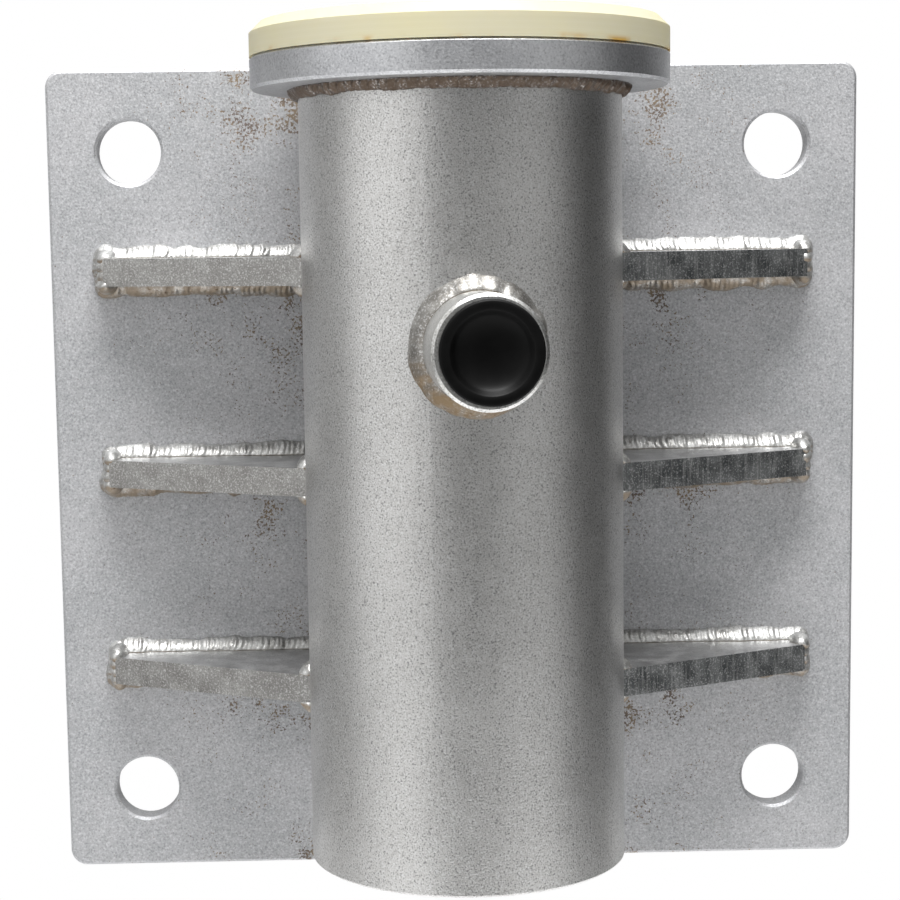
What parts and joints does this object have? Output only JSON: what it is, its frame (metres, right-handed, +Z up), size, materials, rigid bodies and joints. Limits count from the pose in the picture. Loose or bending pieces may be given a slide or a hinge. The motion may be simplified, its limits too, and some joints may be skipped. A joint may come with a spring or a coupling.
{
  "type": "wall-mounted post socket",
  "caption": "Welded steel socket that holds an upright post against a wall: square bolted base plate, tube with nylon bushes, side gussets, collar ring and a plugged stub.",
  "frame": {"origin": "centre of the four-bolt pattern on the base plate's wall face", "axes": "+X to the right seen from the front, +Y into the wall, +Z up along the tube; the front faces -Y"},
  "size_m": [0.24, 0.1278, 0.2482],
  "materials": {
    "plated_steel": "shot-blasted and zinc plated, satin",
    "gusset_steel": "cut plate, zinc plated, satin",
    "weld_metal": "rippled weld bead, lightly rust-stained",
    "nylon": "turned natural nylon",
    "black_plastic": "moulded, semi-gloss"
  },
  "bodies": {
    "root": {"base_plate": "plated_steel", "socket_tube": "plated_steel", "collar_ring": "plated_steel", "stub_pipe": "plated_steel", "gusset_left_upper": "gusset_steel", "gusset_left_middle": "gusset_steel", "gusset_left_lower": "gusset_steel", "gusset_right_upper": "gusset_steel", "gusset_right_middle": "gusset_steel", "gusset_right_lower": "gusset_steel", "weld_left_upper": "weld_metal", "weld_left_middle": "weld_metal", "weld_left_lower": "weld_metal", "weld_right_upper": "weld_metal", "weld_right_middle": "weld_metal", "weld_right_lower": "weld_metal", "tube_welds": "weld_metal", "upper_bush": "nylon", "lower_bush": "nylon", "stub_plug": "black_plastic"}
  },
  "joints": []
}
